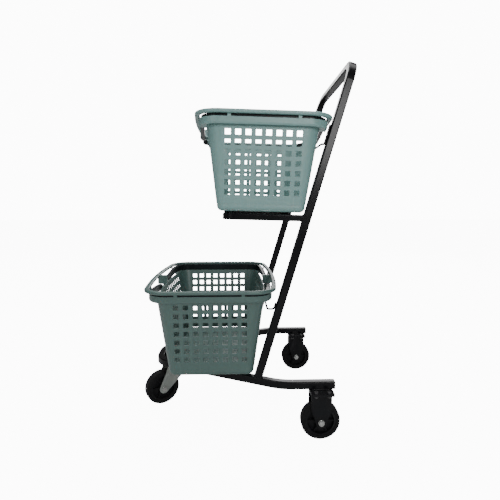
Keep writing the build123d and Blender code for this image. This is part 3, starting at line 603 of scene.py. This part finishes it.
# ------------------------------------------------------------------ sub-assemblies
@dataclass
class TubeFrame:
    """Base tube, hoop, shelf and deck, with the weld beads that join them."""

    paints: Paintbox
    bead: float = 1.5 * MM
    bead_length: float = 8 * MM
    tube: float = 20 * MM
    body: str = "frame"

    def build(self) -> None:
        """Dress the CAD nodes and add the welds."""
        for node in ("base_tube", "handle_hoop", "shelf_frame", "shelf_rear_bar", "shelf_wires",
                     "deck_rods", "deck_tie_rods", "upper_backrest", "lower_backrest",
                     "rear_mount_plates", "front_mount_plate"):
            self.paints.paint_node(node, POWDER_BLACK)
        self.paints.paint_node("rail_end_caps", CAP_BLACK)
        for name, maker in (("hoop_foot_welds", self.hoop_feet), ("shelf_welds", self.shelf),
                            ("backrest_welds", self.backrests), ("deck_welds", self.deck),
                            ("mount_plate_welds", self.mount_plates)):
            mesh = bmesh.new()
            maker(mesh)
            self.paints.paint(new_piece(name, mesh, self.body), WELD_BLACK)
            LOG.info("%s on %s", name, self.body)

    def hoop_feet(self, mesh: bmesh.types.BMesh) -> None:
        """Bead round each foot of the hoop."""
        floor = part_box("handle_hoop")[0].z
        for side in End:
            low, high = span(vertices("handle_hoop", lambda p, s=side.sign: p.z < floor + 1e-4
                                      and p.y * s > 0))
            path = [Vector((x, y, floor + 0.4 * MM)) for x, y in
                    ((low.x, low.y), (high.x, low.y), (high.x, high.y), (low.x, high.y))]
            add_bead(mesh, path, self.bead, closed=True)

    def leg_point(self, y: float, z: float) -> Vector:
        """Point on the front face of a hoop leg."""
        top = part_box("handle_hoop")
        depth = self.tube / math.cos(LEAN)
        front = self.foot_x() - depth / 2
        return Vector((front + (z - top[0].z) * math.tan(LEAN), y, z))

    def foot_x(self) -> float:
        """X of the middle of the hoop's feet."""
        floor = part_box("handle_hoop")[0].z
        low, high = span(vertices("handle_hoop", lambda p: p.z < floor + 1e-4))
        return (low.x + high.x) / 2

    def shelf(self, mesh: bmesh.types.BMesh) -> None:
        """Beads where the shelf's arms meet the legs and where its rear tube meets the arms."""
        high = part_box("shelf_frame")[1]
        bar_low, bar_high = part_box("shelf_rear_bar")
        end = span(vertices("shelf_frame", lambda p: p.x > high.x - 8 * MM))
        half = 8 * MM
        for side in End:
            middle = side.sign * (high.y - half)
            path = [self.leg_point(middle + dy * half, end[0].z + dz * (end[1].z - end[0].z))
                    for dy, dz in ((-1, 0.0), (1, 0.0), (1, 1.0), (-1, 1.0))]
            add_bead(mesh, path, self.bead, closed=True)
            y = side.sign * bar_high.y
            corners = [Vector((x, y, z)) for x, z in
                       ((bar_low.x, bar_low.z), (bar_high.x, bar_low.z),
                        (bar_high.x, bar_high.z), (bar_low.x, bar_high.z))]
            add_bead(mesh, corners, 0.8 * self.bead, closed=True)

    def backrests(self, mesh: bmesh.types.BMesh) -> None:
        """Short beads along the wire legs of both backrests, two on the long legs."""
        for node, starts in (("upper_backrest", (0.45, 0.95)), ("lower_backrest", (0.8,))):
            low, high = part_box(node)
            for side in End:
                middle = side.sign * (high.y - 2.5 * MM)
                for edge in (-1, 1):
                    y = middle + edge * 2.6 * MM
                    for start in starts:
                        z = low.z + start * (high.z - low.z - self.bead_length)
                        ends = [self.leg_point(y, z), self.leg_point(y, z + self.bead_length)]
                        add_bead(mesh, ends, 0.7 * self.bead, closed=False)

    def deck(self, mesh: bmesh.types.BMesh) -> None:
        """Short beads where each deck rod crosses the two tie rods."""
        low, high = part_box("deck_rods")
        tie_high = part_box("deck_tie_rods")[1]
        count, radius = 5, 4 * MM
        for i in range(count):
            x = low.x + radius + i * (high.x - low.x - 2 * radius) / (count - 1)
            for side in End:
                y = side.sign * (tie_high.y - 3 * MM)
                for edge in (-1, 1):
                    across = y + edge * 2.6 * MM
                    spot = Vector((x, across, tie_high.z))
                    add_bead(mesh, [spot - Vector((3 * MM, 0, 0)), spot + Vector((3 * MM, 0, 0))],
                             0.8 * self.bead, closed=False)

    def mount_plates(self, mesh: bmesh.types.BMesh) -> None:
        """Beads along the rails where the rear mount plates are welded."""
        low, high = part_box("rear_mount_plates")
        top = high.z + 0.3 * MM
        rear = joint("rear_roll_right")["pos_m"]
        for side in End:
            for edge in (-1, 1):
                y = side.sign * rear[1] + edge * self.tube / 2
                add_bead(mesh, [Vector((low.x + 6 * MM, y, top)), Vector((high.x - 6 * MM, y, top))],
                         self.bead, closed=False)


@dataclass
class Wheel:
    """A caster wheel: its tyre, its hub, a sidewall line and the washers beside the hub."""

    paints: Paintbox
    tyre: str
    hub: str
    roll: str
    body: str
    fork_body: str
    fork_half: float = 21 * MM
    radius: float = 50 * MM
    half_width: float = 13.5 * MM

    def build(self) -> None:
        """Dress the wheel and add its turned details."""
        self.paints.paint_node(self.tyre, TYRE_RUBBER)
        self.paints.paint_node(self.hub, HUB_BLACK)
        axle = joint(self.roll)
        centre, axis = Vector(axle["pos_m"]), Vector(axle["axis"]).normalized()
        name = self.body
        mesh = bmesh.new()
        for side in (-1, 1):
            place = along(side * axis, centre)
            face = self.half_width - 0.1 * MM
            for middle, width in ((41.2 * MM, 0.9 * MM), (43.6 * MM, 0.5 * MM)):
                add_lathe(mesh, rounded_band(middle - width, middle + width, face - 0.4 * MM,
                                             face + 0.45 * MM, 0.3 * MM), place, 96)
        self.paints.paint(new_piece(f"{name}_sidewall_lines", mesh, self.body), TYRE_RUBBER)
        mesh = bmesh.new()
        for side in (-1, 1):
            place = along(side * axis, centre)
            add_lathe(mesh, rounded_band(4.4 * MM, 7.8 * MM, self.fork_half - 0.1 * MM,
                                         self.fork_half + 0.9 * MM, 0.35 * MM), place)
        self.paints.paint(new_piece(f"{name}_axle_washers", mesh, self.fork_body),
                          FASTENER_ZINC)
        LOG.info("%s: sidewall lines and axle washers", name)


@dataclass
class RunningGear:
    """Two rigid rear casters and the swivelling front caster."""

    paints: Paintbox

    def build(self) -> None:
        """Dress forks and fasteners and build each wheel's details."""
        for node in ("rear_fork_left", "rear_fork_right"):
            self.paints.paint_node(node, FORK_BLACK)
        for node in ("front_fork", "swivel_plate"):
            self.paints.paint_node(node, ZINC_PLATE)
        for node in ("plate_bolts", "plate_nuts"):
            self.paints.paint_node(node, FASTENER_DARK)
        for node in ("rear_axle_bolts", "rear_axle_nuts",
                     "rear_axle_sleeves", "front_axle_bolt", "front_axle_nut", "front_axle_sleeve",
                     "kingpin", "swivel_balls"):
            self.paints.paint_node(node, FASTENER_ZINC)
        for side in End:
            Wheel(self.paints, f"rear_tyre_{side.value}", f"rear_hub_{side.value}",
                  f"rear_roll_{side.value}", f"rear_wheel_{side.value}", "frame").build()
        Wheel(self.paints, "front_tyre", "front_hub", "front_roll", "front_wheel",
              "front_caster").build()
        LOG.info("running gear dressed")


@dataclass
class HandBasket:
    """A moulded hand basket with its two black bails and the clips that hold them."""

    paints: Paintbox
    tier: Tier

    @property
    def finish(self) -> Finish:
        """The colour of this tier's basket; the lower basket's green is the upper basket's green darkened,
        as painted shade.
        """
        return BASKET_LIGHT if self.tier is Tier.UPPER else BASKET_PAINTED_SHADE

    def build(self) -> None:
        """Dress the basket and its bails and add the pivot clips."""
        tier = self.tier.value
        self.paints.paint_node(f"{tier}_basket", self.finish)
        for end in End:
            self.paints.paint_node(f"{tier}_bail_{end.value}", BAIL_BLACK)
            self.clips(end)
        LOG.info("%s basket dressed", tier)

    def clips(self, end: End) -> None:
        """Round black clips over the pin heads of one bail.

        Args:
            end: The bail's end of the basket.
        """
        tier = self.tier.value
        name = f"{tier}_bail_{end.value}"
        pivot = joint(f"{name}_hinge")
        centre, axis = Vector(pivot["pos_m"]), Vector(pivot["axis"]).normalized()
        near = vertices(name, lambda p: (p - centre - axis * (p - centre).dot(axis)).length < 10 * MM)
        reach = max(abs((p - centre).dot(axis)) for p in near)
        mesh = bmesh.new()
        for side in (-1, 1):
            place = along(side * axis, centre)
            profile = [(0.2 * MM, reach + 3.6 * MM), (4.4 * MM, reach + 3.3 * MM),
                       (6.2 * MM, reach + 2.4 * MM), (6.9 * MM, reach + 0.9 * MM),
                       (6.9 * MM, reach + 0.1 * MM), (0.2 * MM, reach + 0.1 * MM)]
            add_lathe(mesh, profile, place, 40)
        self.paints.paint(new_piece(f"{name}_clips", mesh, name), BAIL_BLACK)


# ------------------------------------------------------------------ stage
@dataclass(frozen=True)
class Viewpoint:
    """The camera's place and direction."""

    place: tuple[float, float, float] = (-0.0062855, -1.137, 0.5957)
    yaw: float = 0.0313
    pitch: float = math.radians(6.73)
    lens: float = 27.72

    def build(self) -> None:
        """Make the camera and use it for the scene."""
        data = bpy.data.cameras.new("viewpoint")
        data.sensor_width = 36.0
        data.lens = self.lens
        data.clip_start, data.clip_end = 0.02, 100.0
        camera = bpy.data.objects.new("viewpoint", data)
        camera.location = self.place
        level = math.cos(self.pitch)
        ahead = Vector((math.sin(self.yaw) * level, math.cos(self.yaw) * level, -math.sin(self.pitch)))
        camera.rotation_mode = "QUATERNION"
        camera.rotation_quaternion = ahead.to_track_quat("-Z", "Y")
        bpy.context.scene.collection.objects.link(camera)
        bpy.context.scene.camera = camera


@dataclass(frozen=True)
class Softbox:
    """A rectangular studio light that faces a point of the object."""

    name: str
    place: tuple[float, float, float]
    target: tuple[float, float, float]
    width: float
    height: float
    power: float

    def build(self) -> None:
        """Make the light."""
        data = bpy.data.lights.new(self.name, "AREA")
        data.shape = "RECTANGLE"
        data.size, data.size_y = self.width, self.height
        data.energy = self.power
        lamp = bpy.data.objects.new(self.name, data)
        lamp.location = self.place
        lamp.rotation_mode = "QUATERNION"
        facing = Vector(self.target) - Vector(self.place)
        lamp.rotation_quaternion = facing.to_track_quat("-Z", "Y")
        bpy.context.scene.collection.objects.link(lamp)


@dataclass
class Studio:
    """Pale floor, soft lights and a pale surround."""

    floor_half: float = 14.0
    surround: float = 12.0
    paper_glow: float = 11.0
    ambient: float = 0.18

    def build(self) -> None:
        """Make the floor, the surround and the lights."""
        self.floor()
        self.world()
        for light in (
                Softbox("key_softbox", (1.0, -3.2, 1.4), (0.2, 0.0, 0.75), 1.1, 0.9, 62.0),
                Softbox("overhead_softbox", (-0.2, 0.3, 3.4), (0.0, 0.0, 0.3), 3.6, 3.6, 175.0),
                Softbox("front_fill", (-2.6, -3.0, 1.6), (0.0, 0.0, 0.5), 1.8, 1.8, 34.0),
                Softbox("rear_fill", (1.0, 3.4, 1.8), (0.0, 0.0, 0.5), 2.4, 1.6, 62.0)):
            light.build()
        LOG.info("studio built")

    def floor(self) -> None:
        """Make the floor sheet."""
        mesh = bmesh.new()
        bmesh.ops.create_grid(mesh, x_segments=8, y_segments=8, size=self.floor_half)
        data = bpy.data.meshes.new("studio_floor")
        mesh.to_mesh(data)
        mesh.free()
        sheet = bpy.data.objects.new("studio_floor", data)
        bpy.context.scene.collection.objects.link(sheet)
        made = bpy.data.materials.new("studio_paper")
        made.use_nodes = True
        shader = made.node_tree.nodes["Principled BSDF"]
        shader.inputs["Base Color"].default_value = rgb(0.6, 0.6, 0.6)
        shader.inputs["Roughness"].default_value = 0.9
        shader.inputs["Specular IOR Level"].default_value = 0.1
        shader.inputs["Emission Color"].default_value = rgb(1.0, 1.0, 1.0)
        graph = Graph(made.node_tree)
        path = graph.add("ShaderNodeLightPath")
        glow = graph.ramp(path.outputs["Is Camera Ray"], 0.0, 1.0, 0.0, self.paper_glow)
        graph.join(glow, shader.inputs["Emission Strength"])
        data.materials.append(made)

    def world(self) -> None:
        """Make a surround that looks pale to the camera and lights the object dimly."""
        world = bpy.data.worlds.new("studio_surround")
        bpy.context.scene.world = world
        world.use_nodes = True
        graph = Graph(world.node_tree)
        background = world.node_tree.nodes["Background"]
        background.inputs["Color"].default_value = rgb(1.0, 1.0, 1.0)
        path = graph.add("ShaderNodeLightPath")
        strength = graph.ramp(path.outputs["Is Camera Ray"], 0.0, 1.0, self.ambient, self.surround)
        graph.join(strength, background.inputs["Strength"])


def main() -> None:
    """Build the trolley's looks, piece by piece, and its stage."""
    logging.basicConfig(level=logging.INFO, format="%(name)s: %(message)s")
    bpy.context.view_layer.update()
    paints = Paintbox()
    TubeFrame(paints).build()
    RunningGear(paints).build()
    for tier in Tier:
        HandBasket(paints, tier).build()
    Studio().build()
    Viewpoint().build()


if __name__ == "__main__":
    main()
